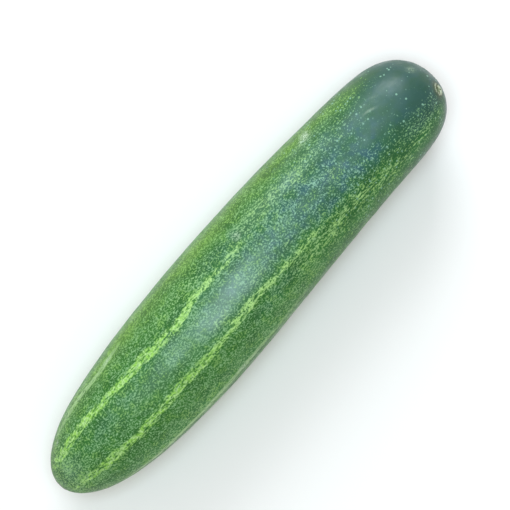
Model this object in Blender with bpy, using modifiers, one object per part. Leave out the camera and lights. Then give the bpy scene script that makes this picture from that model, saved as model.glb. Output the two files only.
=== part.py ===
"""A field cucumber as picked, lying on its side: one grown fruit, one solid.

X runs from the blossom end to the stem end, Y is sideways and Z is up. The fruit rests on the small flat that its
weight presses into the underside, and the origin is on that surface, under the middle of the fruit's box.
"""

import math

import bmesh
import bpy
from mathutils import Matrix, Vector

# Driving dimensions, in metres.
LENGTH = 0.230
FULL_RADIUS = 0.02676
BLOSSOM_SWELL = 0.0328
STEM_SHOULDER = 0.0551
NECK_FROM = 0.0766
REST_DEPTH = 0.0008
RIB_HEIGHT = 0.00016
EDGE_HEIGHT = 0.00038

# Shares of the radius or the length, and the power that makes the stem end blunt.
STEM_BLUNTNESS = 5.17
NECK_TAPER = 0.178
LOBE_SHARE = 0.013
EDGE_RISE = (0.0, 0.2)
EDGE_FALL = (0.45, 0.7)

# Angles round the fruit in degrees, from the top towards -Y.
LOBE_ANGLE = 65.0
RIB_ANGLES = (-62.0, -26.0, 25.0, 107.0, 144.0, 182.0, 218.0, 258.0)
RIB_SPREAD = 6.5
EDGE_ANGLE = 68.0
EDGE_SPREAD = 5.0

# The sideways bow of the spine, in metres: where it starts, its rise to the stem end, and its two waves.
BOW_START = -0.00193
BOW_RISE = 0.00266
BOW_ARCH = 0.00145
BOW_SWING = -0.00102

# The two scars, in metres. The stem's stands off the axis, on the shoulder of the dome.
STEM_SCAR_OFFSET = 0.0118
STEM_SCAR_ANGLE = 34.5
STEM_SCAR = {"radius": 0.0024, "depth": 0.0007, "rim": 0.0003}
BLOSSOM_SCAR = {"radius": 0.0024, "depth": 0.00035, "rim": 0.0002}
DISH_SHARE = 0.85
RIM_SHARE = 0.28
SCAR_REACH = 3.0

# How finely the fruit is faceted.
RING_GAPS = 58
SEGMENTS = 60
SCAR_CUTS = 3
SCAR_PATCH = 1.9
MERGE_DISTANCE = 0.00001
SHARP_DEGREES = 30

SKIN_COLOUR = (0.107, 0.288, 0.102, 1.0)
SKIN_ROUGHNESS = 0.42


def clamped(value):
    return min(max(value, 0.0), 1.0)


def eased(value, start=0.0, end=1.0):
    """A smooth step from 0 at start to 1 at end."""
    share = clamped((value - start) / (end - start))
    return share * share * (3 - 2 * share)


def round_radius(x):
    """Radius of the plain round fruit, x metres from the tip of the blossom end."""
    filling = math.sqrt(1 - math.exp(-x / BLOSSOM_SWELL))
    into_shoulder = clamped((LENGTH - x) / STEM_SHOULDER)
    closing = math.sqrt(1 - (1 - into_shoulder) ** STEM_BLUNTNESS)
    return FULL_RADIUS * filling * closing * (1 - NECK_TAPER * eased(x, NECK_FROM, LENGTH))


def spine_offset(x):
    """How far the middle of the fruit stands towards +Y at x."""
    along = x / LENGTH
    arch = BOW_ARCH * math.sin(math.pi * along)
    swing = BOW_SWING * math.sin(2 * math.pi * along)
    return BOW_START + BOW_RISE * along + arch + swing


def ridge(angle, middle, spread):
    """Height from 0 to 1 of a long soft ridge, by the angle round the fruit."""
    away = (angle - middle + 180) % 360 - 180
    return math.exp(-((away / spread) ** 2))


def grown_radius(x, angle):
    """Radius with the three soft lobes, the shallow ribs and the one sharper edge."""
    plain = round_radius(x)
    along = x / LENGTH
    fullness = (plain / FULL_RADIUS) ** 2
    lobes = LOBE_SHARE * plain * math.cos(math.radians(3 * (angle - LOBE_ANGLE)))
    ribs = RIB_HEIGHT * sum(ridge(angle, middle, RIB_SPREAD) for middle in RIB_ANGLES)
    edge_run = eased(along, *EDGE_RISE) * (1 - eased(along, *EDGE_FALL))
    edge = EDGE_HEIGHT * edge_run * ridge(angle, EDGE_ANGLE, EDGE_SPREAD)
    return plain + fullness * (lobes + ribs + edge)


def skin_point(x, angle):
    """The point of the skin at x, at an angle round the fruit."""
    turn = math.radians(angle)
    radius = grown_radius(x, angle)
    return Vector((x, spine_offset(x) - radius * math.sin(turn), radius * math.cos(turn)))


def grown(point):
    """Where a point of the plain round fruit goes on the grown one."""
    return skin_point(point.x, math.degrees(math.atan2(-point.y, point.z)))


def place_where(radius, near, far):
    """How far along the fruit the dome between near and far has closed in to a radius."""
    while far - near > MERGE_DISTANCE:
        middle = (near + far) / 2
        if round_radius(middle) > radius:
            near = middle
        else:
            far = middle
    return near


def make_scars():
    """The stem scar and the blossom scar, each with its middle and its outward direction."""
    near = place_where(STEM_SCAR_OFFSET + STEM_SCAR["radius"], LENGTH - STEM_SHOULDER, LENGTH)
    place = place_where(STEM_SCAR_OFFSET, near, LENGTH)
    far = place_where(STEM_SCAR_OFFSET - STEM_SCAR["radius"], place, LENGTH)
    slope = skin_point(far, STEM_SCAR_ANGLE) - skin_point(near, STEM_SCAR_ANGLE)
    turn = math.radians(STEM_SCAR_ANGLE)
    sideways = Vector((0, math.cos(turn), math.sin(turn)))
    stem = {"middle": skin_point(place, STEM_SCAR_ANGLE), "outward": slope.cross(sideways).normalized()}
    blossom = {"middle": Vector((0, spine_offset(0), 0)), "outward": Vector((-1, 0, 0))}
    return [{**stem, **STEM_SCAR}, {**blossom, **BLOSSOM_SCAR}]


def distance_from(scar, point):
    """Distance across the skin from a scar's middle, as a share of the scar's radius."""
    offset = point - scar["middle"]
    if offset.length > SCAR_REACH * scar["radius"]:
        return SCAR_REACH
    return (offset - offset.dot(scar["outward"]) * scar["outward"]).length / scar["radius"]


def scar_shift(scar, point):
    """What a scar adds to a point of the skin: a shallow dish inside a low corky rim."""
    away = distance_from(scar, point)
    dish = -scar["depth"] * (1 - eased(away, 0, DISH_SHARE))
    rim = scar["rim"] * math.exp(-(((away - 1) / RIM_SHARE) ** 2))
    return (dish + rim) * scar["outward"]


def skin_material():
    material = bpy.data.materials.new("cucumber skin")
    material.use_nodes = True
    shader = material.node_tree.nodes["Principled BSDF"]
    shader.inputs["Base Color"].default_value = SKIN_COLOUR
    shader.inputs["Roughness"].default_value = SKIN_ROUGHNESS
    shader.inputs["Metallic"].default_value = 0.0
    return material


def turned_mesh(collection):
    """The plain round fruit along X: its profile turned about its length."""
    stations = [LENGTH * (1 - math.cos(math.pi * i / RING_GAPS)) / 2 for i in range(RING_GAPS + 1)]
    points = [(round_radius(x), 0, x) for x in reversed(stations)]
    edges = [(i, i + 1) for i in range(RING_GAPS)]
    profile = bpy.data.meshes.new("profile")
    profile.from_pydata(points, edges, [])
    turned = bpy.data.objects.new("profile", profile)
    collection.objects.link(turned)
    turn = turned.modifiers.new("turn", "SCREW")
    turn.axis = "Z"
    turn.steps = SEGMENTS
    turn.render_steps = SEGMENTS
    turn.use_merge_vertices = True
    turn.merge_threshold = MERGE_DISTANCE
    bpy.context.view_layer.update()
    graph = bpy.context.evaluated_depsgraph_get()
    mesh = bpy.data.meshes.new_from_object(turned.evaluated_get(graph))
    bpy.data.objects.remove(turned)
    mesh.transform(Matrix.Rotation(math.pi / 2, 4, "Y"))
    return mesh


def divide_at(body, scar):
    """Finer faces where a scar is, to carry its dish and rim."""
    near = {v for v in body.verts if distance_from(scar, grown(v.co)) < SCAR_PATCH}
    edges = [e for e in body.edges if e.verts[0] in near and e.verts[1] in near]
    bmesh.ops.subdivide_edges(body, edges=edges, cuts=SCAR_CUTS, use_grid_fill=True)


def grow(body, scars):
    """Gives the round fruit its lobes, ribs, bow and scars."""
    for vert in body.verts:
        skin = grown(vert.co)
        vert.co = skin + sum((scar_shift(scar, skin) for scar in scars), Vector())


def press_flat(body):
    """Takes off the lowest skin, and closes it with the flat that the fruit rests on."""
    level = min(v.co.z for v in body.verts) + REST_DEPTH
    cut = bmesh.ops.bisect_plane(
        body,
        geom=body.verts[:] + body.edges[:] + body.faces[:],
        dist=MERGE_DISTANCE,
        plane_co=(0, 0, level),
        plane_no=(0, 0, -1),
        clear_outer=True,
    )
    rim = [item for item in cut["geom_cut"] if isinstance(item, bmesh.types.BMEdge)]
    for vert in {vert for edge in rim for vert in edge.verts}:
        vert.co.z = level
    bmesh.ops.edgeloop_fill(body, edges=rim)


def set_down(body):
    """Moves the fruit so that the origin is under the middle of its box."""
    low = [min(v.co[axis] for v in body.verts) for axis in range(3)]
    high = [max(v.co[axis] for v in body.verts) for axis in range(3)]
    middle = Vector(((low[0] + high[0]) / 2, (low[1] + high[1]) / 2, low[2]))
    bmesh.ops.translate(body, verts=body.verts, vec=-middle)


def make_cucumber(collection):
    mesh = turned_mesh(collection)
    mesh.name = "cucumber"
    scars = make_scars()
    body = bmesh.new()
    body.from_mesh(mesh)
    for scar in scars:
        divide_at(body, scar)
    grow(body, scars)
    press_flat(body)
    set_down(body)
    body.to_mesh(mesh)
    body.free()
    mesh.materials.append(skin_material())
    mesh.shade_smooth()
    mesh.set_sharp_from_angle(angle=math.radians(SHARP_DEGREES))
    collection.objects.link(bpy.data.objects.new("cucumber", mesh))


def clear_scene():
    for old in list(bpy.data.objects):
        bpy.data.objects.remove(old, do_unlink=True)


def main():
    clear_scene()
    collection = bpy.data.collections.new("cucumber")
    bpy.context.scene.collection.children.link(collection)
    make_cucumber(collection)


main()
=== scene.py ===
import bpy
import math
import numpy as np
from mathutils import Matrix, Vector


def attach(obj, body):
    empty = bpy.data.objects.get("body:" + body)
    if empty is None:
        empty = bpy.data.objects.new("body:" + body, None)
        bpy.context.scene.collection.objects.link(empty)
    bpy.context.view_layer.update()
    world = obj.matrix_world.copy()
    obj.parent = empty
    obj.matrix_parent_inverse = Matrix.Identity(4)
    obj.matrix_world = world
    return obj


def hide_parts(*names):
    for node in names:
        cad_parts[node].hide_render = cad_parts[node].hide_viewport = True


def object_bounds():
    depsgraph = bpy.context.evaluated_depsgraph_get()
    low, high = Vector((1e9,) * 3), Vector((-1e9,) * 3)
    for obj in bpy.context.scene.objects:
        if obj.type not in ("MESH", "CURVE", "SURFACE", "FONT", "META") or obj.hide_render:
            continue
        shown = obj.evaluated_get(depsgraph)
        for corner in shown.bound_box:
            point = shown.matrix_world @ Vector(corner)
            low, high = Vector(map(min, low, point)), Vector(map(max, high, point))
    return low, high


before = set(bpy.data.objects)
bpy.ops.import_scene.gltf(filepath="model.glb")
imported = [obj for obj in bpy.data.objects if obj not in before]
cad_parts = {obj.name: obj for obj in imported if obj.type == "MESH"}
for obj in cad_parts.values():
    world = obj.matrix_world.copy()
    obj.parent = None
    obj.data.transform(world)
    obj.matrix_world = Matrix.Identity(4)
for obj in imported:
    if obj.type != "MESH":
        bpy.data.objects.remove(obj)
cadLow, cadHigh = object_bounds()  # box of the solid, before anything is added
print("frame loaded")


# small helpers for working as by hand

def deselectAll():
    if bpy.context.object and bpy.context.object.mode != "OBJECT":
        bpy.ops.object.mode_set(mode="OBJECT")
    bpy.ops.object.select_all(action="DESELECT")


def selectVerts(piece, wanted):
    # picks the vertices whose place wanted() likes, and goes back to edit mode
    bpy.ops.object.mode_set(mode="OBJECT")
    for part in (piece.data.polygons, piece.data.edges):
        part.foreach_set("select", [False] * len(part))
    for vert in piece.data.vertices:
        vert.select = bool(wanted(vert.co))
    bpy.ops.object.mode_set(mode="EDIT")
    bpy.ops.mesh.select_mode(type="VERT")


def extrudeBy(step):
    bpy.ops.mesh.extrude_region_move(TRANSFORM_OT_translate={"value": step})


def slideSkin(step, reach):
    # moves what is selected, and the skin within reach follows it softly
    bpy.ops.transform.translate(
        value=step, use_proportional_edit=True, proportional_edit_falloff="SMOOTH", proportional_size=reach)


def turnFacesOut():
    bpy.ops.mesh.select_all(action="SELECT")
    bpy.ops.mesh.normals_make_consistent(inside=False)
    bpy.ops.object.mode_set(mode="OBJECT")


def applyModifier(piece, kind, **settings):
    modifier = piece.modifiers.new(kind.lower(), kind)
    for key, value in settings.items():
        setattr(modifier, key, value)
    bpy.ops.object.modifier_apply(modifier=modifier.name)


def applyPlace():
    bpy.ops.object.transform_apply(location=True, rotation=True, scale=True)


def divideSmoothly(piece, levels):
    applyModifier(piece, "SUBSURF", levels=levels, render_levels=levels)


def bumpy(piece, size, height):
    # soft swells pushed into the surface by a cloud texture
    clouds = bpy.data.textures.new("swell", "CLOUDS")
    clouds.noise_scale = size
    clouds.noise_depth = 1
    applyModifier(piece, "DISPLACE", texture=clouds, texture_coords="LOCAL", strength=height, mid_level=0.5)


def eased(value, start, end):
    share = np.clip((value - start) / (end - start), 0, 1)
    return share * share * (3 - 2 * share)


def writeMark(piece, name, values):
    layer = piece.data.attributes.new(name, "FLOAT", "POINT")
    layer.data.foreach_set("value", np.clip(values, 0, 1).astype(np.float32))


# small helpers for materials

def tone(red, green, blue):
    # screen values from 0 to 255 as Blender's linear colour
    shares = [value / 255 for value in (red, green, blue)]
    return [share / 12.92 if share <= 0.04045 else ((share + 0.055) / 1.055) ** 2.4 for share in shares] + [1]


def addNode(tree, kind, sockets=None, **settings):
    # a socket takes a value, or another node's output
    made = tree.nodes.new("ShaderNode" + kind)
    for key, value in settings.items():
        setattr(made, key, value)
    for key, value in (sockets or {}).items():
        if isinstance(value, bpy.types.NodeSocket):
            tree.links.new(value, made.inputs[key])
        else:
            made.inputs[key].default_value = value
    return made


def calc(tree, operation, first, second):
    return addNode(tree, "Math", {0: first, 1: second}, operation=operation).outputs[0]


def plus(tree, first, second):
    return calc(tree, "ADD", first, second)


def minus(tree, first, second):
    return calc(tree, "SUBTRACT", first, second)


def times(tree, first, second):
    return calc(tree, "MULTIPLY", first, second)


def larger(tree, first, second):
    return calc(tree, "MAXIMUM", first, second)


def ramp(tree, value, low, high, lowOut=0.0, highOut=1.0):
    # goes softly from lowOut to highOut while value goes from low to high
    sockets = {"Value": value, "From Min": low, "From Max": high, "To Min": lowOut, "To Max": highOut}
    return addNode(tree, "MapRange", sockets, interpolation_type="SMOOTHSTEP").outputs[0]


def blended(tree, share, first, second):
    return addNode(tree, "Mix", {0: share, 6: first, 7: second}, data_type="RGBA").outputs[2]


def cloudy(tree, place, stretch, size, detail, roughness):
    # stretch makes the clouds longer along the fruit, and size is the length of one in metres
    if stretch > 1:
        place = addNode(tree, "Mapping", {"Vector": place, "Scale": (1 / stretch, 1, 1)}).outputs[0]
    sockets = {"Vector": place, "Scale": 1 / size, "Detail": detail, "Roughness": roughness}
    return addNode(tree, "TexNoise", sockets).outputs[0]


def painted(tree, name):
    return addNode(tree, "Attribute", attribute_name=name).outputs["Fac"]


def newFinish(name):
    finish = bpy.data.materials.new(name)
    finish.use_nodes = True
    tree = finish.node_tree
    place = addNode(tree, "TexCoord").outputs["Object"]
    return finish, tree, place, tree.nodes["Principled BSDF"]


def addRelief(tree, shader, height, distance, strength):
    bump = addNode(tree, "Bump", {"Height": height, "Distance": distance, "Strength": strength})
    tree.links.new(bump.outputs[0], shader.inputs["Normal"])


# the fruit's form: lengths in metres, angles in degrees from the top towards -Y
fruitForm = {
    "length": 0.230,
    "fullRadius": 0.02676,
    "blossomSwell": 0.0328,
    "stemShoulder": 0.0551,
    "stemBluntness": 5.17,
    "neckFrom": 0.0766,
    "neckTaper": 0.178,
    "bow": (-0.00193, 0.00266, 0.00145, -0.00102),  # start, rise to the stem end, arch, swing
    "middleY": 0.00016,  # the spine's zero is this far from the middle of the box
    "columns": 96,
    "rings": 56,
    "smoothLevels": 2,
    # heights of what stands up on the skin, as shares of the radius
    "lobes": 3,
    "lobeShare": 0.013,
    "lobeAngle": 65,
    "ribShare": 0.0068,
    "ribAngles": (-62, -26, 25, 107, 144, 182, 218, 258),
    "ribSpread": 7,
    "edgeShare": 0.018,
    "edgeAngle": 68,
    "edgeSpread": 6,
    # (from, to, part of the height), with from and to as shares of the length
    "bodyRuns": ((0.04, 0.97, 0.35), (0.10, 0.93, 0.65)),
    "edgeRuns": ((0.08, 0.62, 0.4), (0.14, 0.54, 0.6)),
    "leastShare": 0.0002,  # a column that would move less stays
    "slowSwell": (0.022, 0.0005),  # size and height of the skin's unevenness
    "fineSwell": (0.0045, 0.00016),
    "seamAngle": 165,
    "mapMargin": 0.004,
    "ringReach": 0.0001,  # a vertex this near a ring is on it
    "axisReach": 0.000001,
}
middleX = fruitForm["length"] / 2


def roundRadius(x):
    form = fruitForm
    filling = np.sqrt(1 - np.exp(-x / form["blossomSwell"]))
    intoShoulder = np.clip((form["length"] - x) / form["stemShoulder"], 0, 1)
    closing = np.sqrt(1 - (1 - intoShoulder) ** form["stemBluntness"])
    neck = 1 - form["neckTaper"] * eased(x, form["neckFrom"], form["length"])
    return form["fullRadius"] * filling * closing * neck


def spineOffset(x):
    start, rise, arch, swing = fruitForm["bow"]
    along = x / fruitForm["length"]
    return start + rise * along + arch * np.sin(np.pi * along) + swing * np.sin(2 * np.pi * along)


def angleAt(y, z):
    return np.degrees(np.arctan2(-y, z))


def turnBetween(angle, other):
    return (angle - other + 180) % 360 - 180


def ridge(angle, middle, spread):
    return np.exp(-((turnBetween(angle, middle) / spread) ** 2))


def closeTip(reach):
    extrudeBy((reach, 0, 0))
    bpy.ops.mesh.merge(type="CENTER")


def drawRings():
    # one ring near the blossom tip, extruded and resized along the length, closed at both tips
    length, rings = fruitForm["length"], fruitForm["rings"]
    stations = [length * (1 - math.cos(math.pi * i / rings)) / 2 for i in range(rings + 1)]
    bpy.ops.mesh.primitive_circle_add(
        vertices=fruitForm["columns"], radius=roundRadius(stations[1]), fill_type="NOTHING",
        location=(stations[1], 0, 0), rotation=(0, math.pi / 2, 0))
    piece = bpy.context.object
    piece.name = "cucumberSkin"
    applyPlace()
    bpy.ops.object.mode_set(mode="EDIT")
    bpy.ops.mesh.select_all(action="SELECT")
    for before, here in zip(stations[1:-2], stations[2:-1]):
        extrudeBy((here - before, 0, 0))
        grow = roundRadius(here) / roundRadius(before)
        bpy.ops.transform.resize(value=(1, grow, grow), center_override=(here, 0, 0))
    closeTip(stations[-1] - stations[-2])
    selectVerts(piece, lambda co: abs(co.x - stations[1]) < stations[1] / 2)
    closeTip(-stations[1])
    turnFacesOut()
    return piece, stations


def layUnwrap(piece):
    # round the fruit across the map and blossom to stem up it, with the seam on the underside
    layer = piece.data.uv_layers.new(name="OFBake")
    margin = fruitForm["mapMargin"]
    for face in piece.data.polygons:
        middle = angleAt(face.center.y, face.center.z)
        for loopIndex in face.loop_indices:
            co = piece.data.vertices[piece.data.loops[loopIndex].vertex_index].co
            onAxis = math.hypot(co.y, co.z) < fruitForm["axisReach"]
            off = 0 if onAxis else turnBetween(angleAt(co.y, co.z), middle)
            around = ((middle - fruitForm["seamAngle"]) % 360 + off) / 360
            along = co.x / fruitForm["length"]
            layer.data[loopIndex].uv = (margin + (1 - 2 * margin) * around, margin + (1 - 2 * margin) * along)


def columnRuns(angle):
    # what a column gains for the lobes, the ribs and the one edge: (from, to, share of its radius)
    form = fruitForm
    lobe = form["lobeShare"] * math.cos(math.radians(form["lobes"] * (angle - form["lobeAngle"])))
    rib = form["ribShare"] * sum(ridge(angle, middle, form["ribSpread"]) for middle in form["ribAngles"])
    edge = form["edgeShare"] * ridge(angle, form["edgeAngle"], form["edgeSpread"])
    onBody = [(start, end, part * (lobe + rib)) for start, end, part in form["bodyRuns"]]
    onEdge = [(start, end, part * edge) for start, end, part in form["edgeRuns"]]
    return onBody + onEdge


def raiseColumns(piece):
    # each column of the cage goes out or in, less so near the tips
    form = fruitForm
    step = 360 / form["columns"]
    first = piece.data.vertices[0].co
    firstAngle = float(angleAt(first.y, first.z))  # kept as a number, because edit mode renews the vertices
    for column in range(form["columns"]):
        angle = firstAngle + column * step
        for start, end, share in columnRuns(angle):
            if abs(share) < form["leastShare"]:
                continue
            selectVerts(piece, lambda co: start < co.x / form["length"] < end
                        and abs(turnBetween(angleAt(co.y, co.z), angle)) < step / 3)
            bpy.ops.transform.resize(value=(1, 1 + share, 1 + share), center_override=(0, 0, 0))
    bpy.ops.object.mode_set(mode="OBJECT")


def bowRings(piece, stations):
    # each ring slides sideways onto the bowed spine
    for here in stations:
        selectVerts(piece, lambda co: abs(co.x - here) < fruitForm["ringReach"])
        bpy.ops.transform.translate(value=(0, spineOffset(here), 0))
    bpy.ops.object.mode_set(mode="OBJECT")


# where the stalk and the flower were, on the fruit as it is drawn, in metres
scars = {
    "stem": {
        "middle": (0.22650, -0.00583, 0.00973), "outward": (0.817, -0.327, 0.476),
        "radius": 0.0024, "depth": 0.0007, "rim": 0.0003,
    },
    "blossom": {
        "middle": (0.0, -0.00193, 0.0), "outward": (-1.0, 0.0, 0.0),
        "radius": 0.0024, "depth": 0.0007, "rim": 0.0001,
    },
}

# the dish of a scar, in its own radii
dishForm = {
    "floor": 0.5,
    "floorPull": 0.5,  # how far the skin round the floor follows it down
    "rim": (0.92, 1.1),
    "rimPull": 0.35,
    "nearby": 0.01,  # metres: skin further off than this belongs to the fruit's other side
}


def dishScar(piece, scar):
    # the skin sinks where the stalk or flower was, and stands up a little round it
    middle, outward, radius = Vector(scar["middle"]), Vector(scar["outward"]).normalized(), scar["radius"]

    def away(co):
        offset = co - middle
        if offset.length >= dishForm["nearby"]:
            return math.inf
        return (offset - offset.dot(outward) * outward).length / radius

    selectVerts(piece, lambda co: away(co) < dishForm["floor"])
    slideSkin(-scar["depth"] * outward, dishForm["floorPull"] * radius)
    rimStart, rimEnd = dishForm["rim"]
    selectVerts(piece, lambda co: rimStart < away(co) < rimEnd)
    slideSkin(scar["rim"] * outward, dishForm["rimPull"] * radius)
    bpy.ops.object.mode_set(mode="OBJECT")


def setDown(piece):
    # onto the surface, with the lowest skin pressed flat where the solid is flat
    bpy.ops.object.mode_set(mode="EDIT")
    bpy.ops.mesh.select_all(action="SELECT")
    lift = cadHigh.z - max(vert.co.z for vert in piece.data.vertices)
    bpy.ops.transform.translate(value=(-middleX, -fruitForm["middleY"], lift))
    selectVerts(piece, lambda co: co.z < 0)
    bpy.ops.transform.resize(value=(1, 1, 0), center_override=(0, 0, 0))
    bpy.ops.object.mode_set(mode="OBJECT")
    return lift


def modelSkin():
    deselectAll()
    piece, stations = drawRings()
    layUnwrap(piece)
    raiseColumns(piece)
    bowRings(piece, stations)
    divideSmoothly(piece, fruitForm["smoothLevels"])
    bumpy(piece, *fruitForm["slowSwell"])
    bumpy(piece, *fruitForm["fineSwell"])
    for scar in scars.values():
        dishScar(piece, scar)
    markSkin(piece)
    lift = setDown(piece)
    bpy.ops.object.shade_smooth()
    return piece, lift


# where the skin's colour changes: millimetres from the blossom tip, degrees from the top towards -Y
skinMarks = {
    # pale stripes from the blossom end: points of (along, angle, width, strength)
    "stripe": (
        ((3, -52, 4.0, 0.7), (10, -35, 5.0, 0.8), (23, -32, 4.4, 1), (33, -28, 3.6, 1), (43, -25, 3.4, 1),
         (54, -23.5, 3.8, 1), (64, -22.5, 5.0, 0.95), (72, -19.5, 4.2, 0.9), (85, -18.6, 3.8, 0.9),
         (95, -21.9, 3.6, 0.9), (105, -21.8, 3.2, 0.8), (114, -21.1, 3.6, 0.65), (122, -21.6, 4.2, 0.45),
         (130, -24, 4.6, 0.35), (142, -27, 5.0, 0.2)),
        ((3, 40, 2.0, 0.6), (10, 26, 3.0, 0.8), (20, 26, 4.6, 0.85), (29, 25.3, 4.0, 0.9), (37, 27.2, 3.6, 0.9),
         (47, 24.7, 4.0, 0.8), (64, 22.6, 4.2, 0.85), (80, 24.1, 4.0, 0.9), (91, 24.3, 3.4, 0.75),
         (101, 22, 4.0, 0.8), (110, 21.6, 4.2, 0.85), (118, 21.9, 3.8, 0.8), (126, 23.4, 3.0, 0.65),
         (134, 24.9, 3.2, 0.75), (147, 25.3, 2.8, 0.65), (160, 26.7, 2.4, 0.35)),
        ((5, 118, 2.6, 0.7), (20, 110, 3.6, 0.9), (60, 106, 3.4, 1), (110, 108, 3.0, 0.9), (150, 105, 2.2, 0.3)),
        ((5, 150, 2.6, 0.7), (20, 146, 3.8, 0.9), (70, 144, 3.4, 1), (120, 142, 2.6, 0.7), (140, 143, 2.0, 0.3)),
        ((5, 190, 2.6, 0.7), (20, 184, 3.4, 0.9), (60, 181, 4.0, 1), (120, 183, 3.0, 0.9), (165, 180, 2.0, 0.3)),
        ((5, 222, 2.6, 0.7), (20, 220, 3.4, 0.9), (60, 217, 3.6, 1), (95, 219, 3.0, 0.8), (125, 216, 2.0, 0.3)),
        ((5, 266, 2.6, 0.7), (20, 260, 3.6, 0.9), (60, 257, 3.4, 1), (110, 259, 2.8, 0.8), (150, 256, 2.0, 0.3)),
    ),
    # thin pale lines: the broken one high on the far side, and the one on the edge, which is partly a painted
    # highlight along the ridge
    "lineAndRidgeGlint": (
        ((14, -66, 1.6, 0.4), (27, -60.5, 2.4, 0.7), (37, -57.7, 2.4, 0.8), (43, -55.1, 2.4, 0.7),
         (52, -55.6, 2.8, 0.6), (60, -57, 2.0, 0.3)),
        ((20, 76, 1.6, 0.6), (29, 72, 2.0, 0.9), (43, 67.5, 2.2, 1), (64, 67, 2.2, 1), (85, 65.5, 2.4, 0.8),
         (105, 65, 2.0, 0.6), (130, 66, 1.8, 0.35)),
    ),
    # healed scratches, of the same points
    "scratch": (
        ((197, -20.5, 0.5, 0.6), (199.5, -20, 0.8, 1), (201.4, -18.4, 0.9, 1), (203, -16.5, 0.5, 0.6)),
        ((191, -34, 0.3, 0.5), (193.5, -31, 0.4, 0.5)),
        ((203.5, -30, 0.3, 0.5), (207, -25, 0.4, 0.5)),
        ((178, 150, 0.4, 0.7), (184, 156, 0.7, 1), (187, 160, 0.4, 0.7)),
    ),
    "softness": {"stripe": 1.1, "lineAndRidgeGlint": 0.4, "scratch": 0.35},  # millimetres on both sides of the edge
    "startFade": 1.5,
    "endFade": 2,
    # soft patches: (along, angle, half length, half angle, strength)
    # denser and longer flecks between the stripes; the broad patches at 5 and 8 mm along also lighten the blossom
    # tip as a painted highlight
    "haze": (
        (200, 47, 22, 9, 0.8), (150, 46, 40, 16, 0.3), (150, -60, 30, 9, 0.1), (184, -60, 28, 9, 0.3),
        (100, -64, 45, 9, 0.3), (96, -34, 22, 6, 0.4), (8, 0, 10, 60, 0.3), (28, -64, 18, 10, 0.5),
        (196, 130, 26, 9, 0.8), (190, 232, 24, 8, 0.8), (170, 180, 22, 10, 0.5), (110, 105, 60, 16, 0.25),
        (96, 10, 4, 6, 0.7), (46.6, 5, 3.5, 5, 0.2), (170.8, -3, 3.5, 4, 0.8), (137.7, 11, 2.5, 3, 0.7),
        (159, -24, 4, 4, 0.6), (134.4, 25, 3, 5, 0.6), (143, -33, 14, 8, 0.7), (168, -33, 12, 8, 0.3),
        (5, 0, 8, 80, 0.3), (166, 37, 20, 8, 0.85), (138, 36, 12, 7, 0.35), (45, 68, 20, 7, 0.5),
        (68, 57, 18, 8, 0.4), (207, -50, 12, 9, 0.15), (118, 10, 6, 5, 0.35),
    ),
    # waxy bloom and painted sheen on the crest and at both ends: pale blue, partly the fruit's powdery bloom and
    # partly a painted reflection of the light above
    "bloomAndSheen": (
        (76, -3, 9, 8, 0.35), (96, 3, 10, 8, 1), (108, -1, 12, 9, 0.55), (120, -4, 10, 8, 0.3),
        (102, 0, 30, 14, 0.2), (117, 9, 9, 6, 0.5), (143, -31, 14, 8, 0.5), (167, -31, 12, 8, 0.5),
        (167, -48, 14, 6, 0.3), (190, -22, 16, 14, 0.25), (205, -16, 14, 16, 0.4), (8, -6, 6, 30, 0.4),
    ),
    # few flecks, on the crest of the dark end
    "sparse": ((191, -2, 11, 20, 0.65), (215, -25, 14, 30, 0.4), (215, 11, 9, 8, 0.4)),
    # flecks that run on along the sides of the dark end
    "speckled": ((209, 27, 12, 12, 0.9), (218, 32, 9, 15, 1), (208, -50, 12, 10, 0.45)),
    # richer green low on the near side
    "lush": ((214, 60, 14, 24, 0.9), (160, 52, 60, 18, 0.9), (60, 60, 50, 14, 1)),
    # bluer green on the crest and at the stem end
    "cool": (
        (112, -4, 42, 16, 0.42), (162, 12, 24, 9, 0.6), (118, 37, 16, 7, 0.3), (185, -10, 45, 24, 0.9),
        (228, -10, 20, 90, 0.7), (165.4, 12.2, 4.0, 5, 0.8), (40, -9, 30, 10, 0.15), (117, -33, 12, 7, 0.3),
        (180, 20, 20, 8, 0.3),
    ),
    # yellower green on the far side and underneath
    "warm": (
        (60, -60, 60, 13, 0.8), (160, -60, 60, 14, 0.9), (202, -56, 20, 12, 0.5), (100, 180, 120, 60, 0.8),
        (140, 56, 60, 12, 0.2),
    ),
    # rubbed and healed places: (along, angle, half length, half width in mm, strength)
    "scuff": (
        (174.9, -56.6, 2.2, 2.0, 0.85), (173, -52, 2.6, 1.5, 0.5), (88.0, 65.5, 2.6, 1.1, 0.7),
        (94, 66, 3.0, 0.8, 0.4), (13.0, -56.4, 0.9, 0.8, 0.8), (224.6, -30.2, 1.4, 1.6, 0.35),
        (125.5, -31, 1.6, 2.0, 0.5), (52, -56, 2.0, 1.0, 0.5),
    ),
    # rings round the scars, in scar radii: where the darker ring ends (browned skin with painted shade round the
    # hollow), and the stem's pale cork
    "brownedAndShadedEnd": (0.9, 2.2),
    "corkStart": (0.6, 0.8),
    "corkEnd": (1.0, 1.25),
}


def alongPath(points, along, angle, radius, soft):
    # 1 on the path and 0 beyond its width, easing over soft millimetres
    starts, angles, widths, strengths = np.array(points, dtype=float).T
    startFade, endFade = skinMarks["startFade"], skinMarks["endFade"]
    away = np.abs(np.radians(turnBetween(angle, np.interp(along, starts, angles)))) * radius
    half = np.interp(along, starts, widths) / 2
    begun = eased(along, starts[0] - startFade, starts[0] + startFade)
    ended = eased(along, starts[-1] - endFade, starts[-1] + endFade)
    ends = begun * (1 - ended)
    return (1 - eased(away, half - soft, half + soft)) * ends * np.interp(along, starts, strengths)


def inPatch(patch, along, angle):
    middle, turn, halfLength, halfAngle, strength = patch
    return strength * np.exp(-(((along - middle) / halfLength) ** 2) - (turnBetween(angle, turn) / halfAngle) ** 2)


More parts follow.
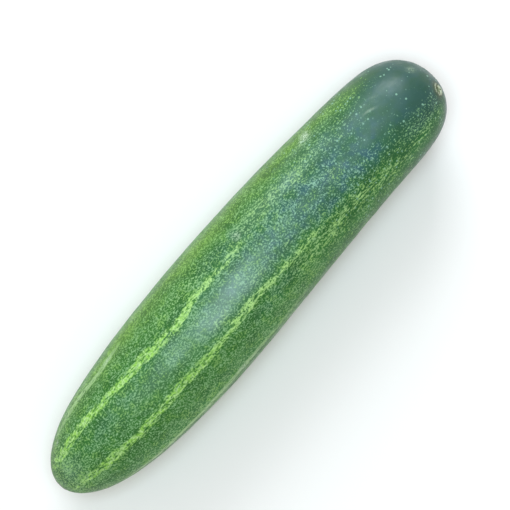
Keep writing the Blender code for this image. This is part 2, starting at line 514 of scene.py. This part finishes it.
def inScuff(scuff, along, angle, radius):
    # a patch of the same width in millimetres all along
    middle, turn, halfLength, halfWidth, strength = scuff
    halfAngle = np.degrees(halfWidth / np.maximum(radius, 1))
    return inPatch((middle, turn, halfLength, halfAngle, strength), along, angle)


def fromScar(scar, x, y, z):
    # distance from the middle of a scar, in radii
    offset = np.stack([x, y, z], 1) - np.array(scar["middle"])
    return np.linalg.norm(offset, axis=1) / scar["radius"]


def markSkin(piece):
    # measured while the fruit still lies along its own axis
    places = np.empty(len(piece.data.vertices) * 3, np.float32)
    piece.data.vertices.foreach_get("co", places)
    x, y, z = places.reshape(-1, 3).T.astype(float)
    y = y - spineOffset(x)
    along, radius, angle = x * 1000, np.hypot(y, z) * 1000, angleAt(y, z)
    for name, soft in skinMarks["softness"].items():
        writeMark(piece, name, sum(alongPath(points, along, angle, radius, soft) for points in skinMarks[name]))
    for name in ("haze", "cool", "warm", "bloomAndSheen", "sparse", "speckled", "lush"):
        writeMark(piece, name, sum(inPatch(patch, along, angle) for patch in skinMarks[name]))
    writeMark(piece, "scuff", sum(inScuff(scuff, along, angle, radius) for scuff in skinMarks["scuff"]))
    aways = {which: fromScar(scar, x, y + spineOffset(x), z) for which, scar in scars.items()}
    # browned skin round each scar, darkened further as painted shade of its hollow
    writeMark(piece, "brownedAndShaded", sum(1 - eased(away, *skinMarks["brownedAndShadedEnd"]) for away in aways.values()))
    inCork = eased(aways["stem"], *skinMarks["corkStart"])
    writeMark(piece, "cork", inCork * (1 - eased(aways["stem"], *skinMarks["corkEnd"])))


# the skin's finish: lengths in metres, colours as screen values from 0 to 255
skinPaint = {
    "groundBlossom": (46, 106, 34),
    "groundStem": (36, 92, 42),
    "groundCool": (44, 93, 76),
    "groundBlue": (44, 86, 98),
    "groundTip": (43, 79, 72),
    "groundLush": (34, 112, 38),
    "groundWarm": (72, 118, 34),
    "groundStripe": (84, 138, 50),
    "shadow": (30, 74, 32),
    "fleck": (126, 170, 114),
    "fleckCool": (132, 176, 152),
    "fleckWarm": (124, 170, 76),
    "fleckStripe": (146, 198, 84),
    "fleckStripePale": (174, 214, 134),
    # pale of the lines, and of the painted highlight along the edge's ridge
    "paleLineAndGlint": (164, 198, 140),
    # pale blue of the waxy bloom, partly a painted sheen
    "bloomAndSheen": (186, 214, 216),
    "scuffed": (186, 206, 178),
    "healed": (146, 166, 148),
    "corky": (184, 192, 166),
    # olive brown round the scars: browned skin with painted shade of the hollows
    "brownedAndShaded": (70, 76, 44),
    # clouds: (stretch along the fruit, size, detail, roughness)
    "clouds": {
        "hue": (1.5, 0.009, 2.0, 0.5),
        "mottle": (1, 0.0045, 2.0, 0.5),
        "patches": (1.8, 0.006, 2.0, 0.5),
        "fine": (1.3, 0.00063, 3.0, 0.62),
        "streaks": (3.6, 0.000693, 2.0, 0.55),
        "strands": (3.0, 0.0014, 1.0, 0.5),
        "dotSizes": (1, 0.003, 1.0, 0.5),
        "paleSpots": (1, 0.0012, 2.0, 0.5),
        "fleckStrengths": (1, 0.0009, 1.0, 0.5),
        "cork": (1, 0.0008, 3.0, 0.5),
        "gloss": (1, 0.004, 3.0, 0.5),
        "pores": (1, 0.0005, 3.0, 0.6),
        "swells": (1, 0.0025, 2.0, 0.5),
    },
    # spans: (from, to) of the value that is read, then (from, to) of what comes out where that isn't 0 to 1
    "alongStemward": (-0.02, 0.098),  # the first six read metres towards the stem
    "alongTip": (0.07, 0.108),
    "alongPaling": (-0.055, 0.005),
    "alongStripeGround": (-0.055, 0.005, 0.85, 0.5),
    "alongYellow": (0.06, 0.1, 1.0, 0.4),
    "alongDots": (0.02, 0.07),
    "tipWhereLush": (0.3, 1.0, 1.0, 0.25),
    "coolByHue": (0.3, 0.7, 0.5, 1.4),
    "warmByHue": (0.3, 0.7, 1.3, 0.6),
    "bloomAndSheenByHue": (0.3, 0.7, 0.6, 1.3),
    "blueByMottle": (0.52, 0.36, 0.0, 0.65),
    "yellowByMottle": (0.48, 0.64, 0.0, 0.65),
    "shadowByPatches": (0.6, 0.3, 0.0, 0.4),
    "paleBySpots": (0.4, 0.6),
    "fleckByStrength": (0.35, 0.6, 0.6, 1.0),
    "lineAndGlintByStreaks": (0.32, 0.52),
    "scuffByFine": (0.36, 0.56),
    "corkByCloud": (0.36, 0.56),
    "roughness": (0.3, 0.7, 0.31, 0.46),
    # how ragged the stripes are, and how much thicker the flecks lie where each mask holds
    "raggedStrands": 2.6,
    "raggedFine": 2.0,
    "raggedFrom": (0.0, 0.25),
    "stripeFill": (0.2, 1.0),
    "stripeFade": (0.05, 0.85),
    "streakShare": 0.7,
    "fleckEdge": (0.472, 0.592),
    "fleckShifts": {
        "inStripe": 0.085, "haze": 0.05, "patchy": 0.16, "stemward": -0.042,
        "stemTip": -0.14, "sparse": -0.12, "speckled": 0.12,
    },
    # round dots: their spacing, how rare they are, and their size, in cells
    "dotGap": 0.0015,
    "dotRarity": (0.05, 0.1, 0.4, 0.78),
    "dotCut": (0.0, 0.05),
    "dotUneven": (0.3, 0.7, -0.1, 0.16),
    "dotSize": (0.34, 0.1),
    # how much of each tint shows
    "lushShare": 0.8,
    "palingShare": 0.85,
    "hazeYellow": 0.7,
    "dotShare": 0.8,
    "bloomAndSheenShare": 0.2,
    "lineAndGlintShare": 0.9,
    "scratchShare": 0.55,
    "brownedAndShadedShare": 0.7,
    # the surface
    "fleckGloss": 0.05,
    "fleckHeight": 0.6,
    "poreHeight": 0.5,
    "fleckLift": 0.00006,
    "bumpStrength": 0.9,
    "ior": 1.45,
    "specular": 0.38,
}


def skinCloud(tree, place, name):
    return cloudy(tree, place, *skinPaint["clouds"][name])


def skinMasks(tree, place):
    # what the colours and flecks are spread by
    paint = skinPaint
    names = ("stripe", "lineAndRidgeGlint", "haze", "lush", "bloomAndSheen", "sparse", "speckled", "scuff", "scratch", "brownedAndShaded", "cork")
    masks = {name: painted(tree, name) for name in names}
    for name in ("hue", "fine", "streaks", "patches", "mottle"):
        masks[name] = skinCloud(tree, place, name)
    toward = addNode(tree, "SeparateXYZ", {0: place}).outputs[0]  # metres towards the stem
    tip = ramp(tree, toward, *paint["alongTip"])
    masks["toward"] = toward
    masks["stemward"] = ramp(tree, toward, *paint["alongStemward"])
    masks["stemTip"] = times(tree, tip, ramp(tree, masks["lush"], *paint["tipWhereLush"]))
    masks["cool"] = times(tree, painted(tree, "cool"), ramp(tree, masks["hue"], *paint["coolByHue"]))
    masks["warm"] = times(tree, painted(tree, "warm"), ramp(tree, masks["hue"], *paint["warmByHue"]))
    masks["patchy"] = minus(tree, masks["patches"], 0.5)
    masks["inStripe"] = raggedStripe(tree, place, masks)
    return masks


def raggedStripe(tree, place, masks):
    # the painted stripe with torn edges and gaps
    paint = skinPaint
    torn = times(tree, minus(tree, skinCloud(tree, place, "strands"), 0.5), paint["raggedStrands"])
    torn = plus(tree, torn, times(tree, minus(tree, masks["fine"], 0.5), paint["raggedFine"]))
    torn = times(tree, torn, ramp(tree, masks["stripe"], *paint["raggedFrom"]))
    filled = ramp(tree, plus(tree, masks["stripe"], torn), *paint["stripeFill"])
    return times(tree, filled, ramp(tree, masks["stripe"], *paint["stripeFade"]))


def fleckMask(tree, masks):
    # flecks crowd together in the stripes and thin out towards the stem
    paint = skinPaint
    streaky = times(tree, larger(tree, masks["stripe"], masks["haze"]), paint["streakShare"])
    level = addNode(tree, "Mix", {0: streaky, 2: masks["fine"], 3: masks["streaks"]}).outputs[0]
    for name, shift in paint["fleckShifts"].items():
        level = plus(tree, level, times(tree, masks[name], shift))
    return ramp(tree, level, *paint["fleckEdge"])


def dotMask(tree, place, masks):
    # round pale dots take over on the dark stem end
    paint = skinPaint
    cells = addNode(tree, "TexVoronoi", {"Vector": place, "Scale": 1 / paint["dotGap"]})
    cellDraw = addNode(tree, "SeparateColor", {0: cells.outputs["Color"]}).outputs[0]
    rarity = ramp(tree, masks["toward"], *paint["dotRarity"])
    chosen = ramp(tree, minus(tree, cellDraw, rarity), *paint["dotCut"])
    uneven = ramp(tree, skinCloud(tree, place, "dotSizes"), *paint["dotUneven"])
    reach = plus(tree, cells.outputs["Distance"], uneven)
    dots = times(tree, ramp(tree, reach, *paint["dotSize"]), chosen)
    return times(tree, dots, ramp(tree, masks["toward"], *paint["alongDots"]))


def groundColour(tree, masks):
    paint = skinPaint
    blue = times(tree, masks["cool"], ramp(tree, masks["mottle"], *paint["blueByMottle"]))
    shade = ramp(tree, masks["patches"], *paint["shadowByPatches"])
    stripeShare = ramp(tree, masks["toward"], *paint["alongStripeGround"])
    layers = (
        (masks["stemward"], "groundStem"), (masks["cool"], "groundCool"), (blue, "groundBlue"),
        (masks["warm"], "groundWarm"), (times(tree, masks["lush"], paint["lushShare"]), "groundLush"),
        (masks["stemTip"], "groundTip"), (shade, "shadow"),
        (times(tree, masks["inStripe"], stripeShare), "groundStripe"),
    )
    return layered(tree, tone(*paint["groundBlossom"]), layers)


def layered(tree, colour, layers):
    # one tint over the other, each as (mask, name)
    for share, name in layers:
        colour = blended(tree, share, colour, tone(*skinPaint[name]))
    return colour


def fleckColour(tree, place, masks):
    paint = skinPaint
    # the stripes pale from yellow-green at the blossom end to whitish green halfway along
    paling = times(tree, ramp(tree, masks["toward"], *paint["alongPaling"]), paint["palingShare"])
    spots = ramp(tree, skinCloud(tree, place, "paleSpots"), *paint["paleBySpots"])
    stripeColour = layered(tree, tone(*paint["fleckStripe"]), [(larger(tree, spots, paling), "fleckStripePale")])
    yellower = ramp(tree, masks["mottle"], *paint["yellowByMottle"])
    yellower = times(tree, yellower, ramp(tree, masks["toward"], *paint["alongYellow"]))
    layers = ((masks["cool"], "fleckCool"), (masks["warm"], "fleckWarm"), (yellower, "fleckWarm"))
    colour = layered(tree, tone(*paint["fleck"]), layers)
    asStripe = larger(tree, masks["inStripe"], times(tree, masks["haze"], paint["hazeYellow"]))
    return blended(tree, asStripe, colour, stripeColour)


def wornLayers(tree, place, masks):
    # a thin waxy bloom with a painted sheen, then lines, rubbed places, healed scratches and the rings round the
    # scars
    paint = skinPaint
    powderAndSheen = times(tree, masks["bloomAndSheen"], ramp(tree, masks["hue"], *paint["bloomAndSheenByHue"]))
    broken = times(tree, ramp(tree, masks["streaks"], *paint["lineAndGlintByStreaks"]), paint["lineAndGlintShare"])
    rubbed = times(tree, masks["scuff"], ramp(tree, masks["fine"], *paint["scuffByFine"]))
    cork = ramp(tree, skinCloud(tree, place, "cork"), *paint["corkByCloud"])
    return (
        # waxy bloom with a painted sheen on the crest and the ends
        (times(tree, powderAndSheen, paint["bloomAndSheenShare"]), "bloomAndSheen"),
        # pale lines, with a painted highlight along the edge's ridge
        (times(tree, masks["lineAndRidgeGlint"], broken), "paleLineAndGlint"),
        (rubbed, "scuffed"),
        (times(tree, masks["scratch"], paint["scratchShare"]), "healed"),
        # browned skin with painted shade round the scar hollows
        (times(tree, masks["brownedAndShaded"], paint["brownedAndShadedShare"]), "brownedAndShaded"),
        (times(tree, masks["cork"], cork), "corky"),
    )


def finishSkin():
    paint = skinPaint
    finish, tree, place, shader = newFinish("cucumberPeel")
    masks = skinMasks(tree, place)
    flecks, dots = fleckMask(tree, masks), dotMask(tree, place, masks)
    strength = ramp(tree, skinCloud(tree, place, "fleckStrengths"), *paint["fleckByStrength"])
    ground, speckle = groundColour(tree, masks), fleckColour(tree, place, masks)
    colour = blended(tree, times(tree, flecks, strength), ground, speckle)
    colour = layered(tree, colour, [(times(tree, dots, paint["dotShare"]), "fleckCool")])
    colour = layered(tree, colour, wornLayers(tree, place, masks))
    tree.links.new(colour, shader.inputs["Base Color"])

    gloss = ramp(tree, skinCloud(tree, place, "gloss"), *paint["roughness"])
    tree.links.new(plus(tree, gloss, times(tree, flecks, paint["fleckGloss"])), shader.inputs["Roughness"])
    pores = times(tree, skinCloud(tree, place, "pores"), paint["poreHeight"])
    height = plus(tree, times(tree, flecks, paint["fleckHeight"]), pores)
    height = plus(tree, height, skinCloud(tree, place, "swells"))
    addRelief(tree, shader, height, paint["fleckLift"], paint["bumpStrength"])
    shader.inputs["IOR"].default_value = paint["ior"]
    shader.inputs["Specular IOR Level"].default_value = paint["specular"]
    return finish


skin, skinLift = modelSkin()
skin.data.materials.append(finishSkin())
print("skin modelled", len(skin.data.polygons))
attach(skin, "root")
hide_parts("cucumber")


# the corky ends: where the stalk broke off, and where the flower was
scarForm = {
    "stem": {
        "name": "stemScar", "radius": 0.0020, "sides": 28, "start": -0.0016, "seat": -0.0007, "rise": 0.0004,
        "lip": 0.0005, "hollow": 0.0003, "core": 0.0011, "coreRise": 0.0002, "rough": (0.0009, 0.0002),
        "paleColour": (176, 184, 154), "darkColour": (92, 98, 66), "coreColour": (92, 110, 76),
    },
    "blossom": {
        "name": "blossomScar", "radius": 0.0019, "sides": 24, "start": -0.0014, "seat": -0.0007, "rise": 0.0004,
        "lip": 0.0005, "hollow": 0.0002, "core": 0.0007, "coreRise": 0.0002, "rough": (0.0008, 0.0002),
        "paleColour": (168, 160, 110), "darkColour": (96, 84, 52), "coreColour": (112, 112, 68),
    },
}

# what both scars share
scarFinish = {
    "smoothLevels": 2,
    "coreFade": (0.7, 1.3),  # in radii of the core
    "grain": (1, 0.0005, 3.0, 0.6),  # stretch, size, detail and roughness of its clouds
    "crackGap": 0.0009,
    "paleByGrain": (0.35, 0.62),
    "darkByCracks": (0.12, 0.02, 0.0, 0.6),
    "roughness": (0.3, 0.7, 0.72, 0.92),
    "crackEdge": (0.0, 0.15),
    "lift": 0.00015,
    "bumpStrength": 0.8,
}


def scarPlace(which):
    # where a scar is once the fruit is set down, and which way it faces
    middle, outward = Vector(scars[which]["middle"]), Vector(scars[which]["outward"]).normalized()
    return middle + Vector((-middleX, -fruitForm["middleY"], skinLift)), outward


def scarSteps(form):
    # each ring's rise, and its share of the width of the ring before
    lip = form["lip"] / form["radius"]
    return (
        (form["seat"] - form["start"], 1.0),  # up to the skin
        (form["rise"] * 0.6, 0.97),  # up to the rim
        (form["rise"] * 0.4, 1 - lip / 2),  # over the lip
        (0.0, 1 - lip),
        (-form["hollow"], 0.8),  # down into the hollow
        (0.0, 0.7),
        (form["coreRise"], 0.75),  # and up again in the middle
        (0.0, 0.5),
    )


def modelScar(which):
    form = scarForm[which]
    middle, outward = scarPlace(which)
    foot = middle + form["start"] * outward
    deselectAll()
    bpy.ops.mesh.primitive_circle_add(
        vertices=form["sides"], radius=form["radius"], fill_type="NGON", location=foot,
        rotation=outward.to_track_quat("Z", "Y").to_euler())
    piece = bpy.context.object
    piece.name = form["name"]
    applyPlace()
    bpy.ops.object.mode_set(mode="EDIT")
    bpy.ops.mesh.select_all(action="SELECT")
    height = form["start"]
    for reach, share in scarSteps(form):
        height += reach
        extrudeBy(reach * outward)
        level = foot + (height - form["start"]) * outward
        bpy.ops.transform.resize(value=(share, share, share), center_override=level)
    bpy.ops.mesh.poke()
    turnFacesOut()
    divideSmoothly(piece, scarFinish["smoothLevels"])
    bumpy(piece, *form["rough"])
    bpy.ops.object.shade_smooth()
    return piece


def finishScar(which):
    form, shared = scarForm[which], scarFinish
    finish, tree, place, shader = newFinish("dried" + which.capitalize())
    sockets = {"Vector": place, "Scale": 1 / shared["crackGap"]}
    cracks = addNode(tree, "TexVoronoi", sockets, feature="DISTANCE_TO_EDGE").outputs[0]
    grain = cloudy(tree, place, *shared["grain"])
    pale, dark, core = tone(*form["paleColour"]), tone(*form["darkColour"]), tone(*form["coreColour"])
    colour = blended(tree, ramp(tree, grain, *shared["paleByGrain"]), dark, pale)
    colour = blended(tree, ramp(tree, cracks, *shared["darkByCracks"]), colour, dark)
    colour = blended(tree, painted(tree, "core"), colour, core)
    tree.links.new(colour, shader.inputs["Base Color"])
    tree.links.new(ramp(tree, grain, *shared["roughness"]), shader.inputs["Roughness"])
    height = plus(tree, grain, ramp(tree, cracks, *shared["crackEdge"]))
    addRelief(tree, shader, height, shared["lift"], shared["bumpStrength"])
    return finish


def markCore(piece, which):
    # the middle of the scar, where the stalk's threads or the flower were
    middle, outward = scarPlace(which)
    near, far = (share * scarForm[which]["core"] for share in scarFinish["coreFade"])
    values = []
    for vert in piece.data.vertices:
        offset = vert.co - middle
        away = (offset - offset.dot(outward) * outward).length
        values.append(1 - float(eased(away, near, far)))
    writeMark(piece, "core", np.array(values))


for which in scarForm:
    button = modelScar(which)
    markCore(button, which)
    button.data.materials.append(finishScar(which))
    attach(button, "root")
print("scars modelled")

# floor, light and camera
studio = {
    "floorSide": 8.0,
    "floorColour": (0.95, 0.905, 0.885, 1),
    "floorRoughness": 0.9,
    "floorSpecular": 0.1,
    "worldColour": (1.0, 0.94, 0.87, 1),
    "worldStrength": 0.55,
    # softboxes: (name, place, target, size, energy, colour)
    "softboxes": (
        ("overhead", (-0.04, 0.02, 1.1), (0, 0, 0.02), (0.45, 0.5), 6.4, (0.68, 0.89, 1.0)),
        ("window", (0.8, 0.9, 0.7), (0, 0, 0.03), (0.7, 0.6), 13, (0.85, 0.94, 1.0)),
    ),
    "cameraAngle": -47.355,  # turns the fruit to where the photograph has it
    "cameraPlace": (0.01016, 0.00326, 1.2782),
    "lens": 213.1,
}


def layFloor():
    deselectAll()
    bpy.ops.mesh.primitive_plane_add(size=studio["floorSide"])
    floor = bpy.context.object
    floor.name = "floor"
    paper = bpy.data.materials.new("paleFloor")
    paper.use_nodes = True
    shader = paper.node_tree.nodes["Principled BSDF"]
    shader.inputs["Base Color"].default_value = studio["floorColour"]
    shader.inputs["Roughness"].default_value = studio["floorRoughness"]
    shader.inputs["Specular IOR Level"].default_value = studio["floorSpecular"]
    floor.data.materials.append(paper)


def addSoftbox(name, place, target, size, energy, colour):
    bpy.ops.object.light_add(type="AREA", location=place)
    lamp = bpy.context.object
    lamp.name = name
    lamp.data.shape = "RECTANGLE"
    lamp.data.size, lamp.data.size_y = size
    lamp.data.energy = energy
    lamp.data.color = colour
    aim = Vector(target) - Vector(place)
    lamp.rotation_euler = aim.to_track_quat("-Z", "Y").to_euler()


def lightStudio():
    world = bpy.data.worlds.new("paleRoom")
    bpy.context.scene.world = world
    world.use_nodes = True
    backdrop = world.node_tree.nodes["Background"]
    backdrop.inputs["Color"].default_value = studio["worldColour"]
    backdrop.inputs["Strength"].default_value = studio["worldStrength"]
    for softbox in studio["softboxes"]:
        addSoftbox(*softbox)


def placeCamera():
    bpy.ops.object.camera_add(location=studio["cameraPlace"], rotation=(0, 0, math.radians(studio["cameraAngle"])))
    camera = bpy.context.object
    camera.data.lens = studio["lens"]
    bpy.context.scene.camera = camera
    bpy.context.scene.view_settings.view_transform = "Standard"


layFloor()
lightStudio()
placeCamera()
print("studio ready")
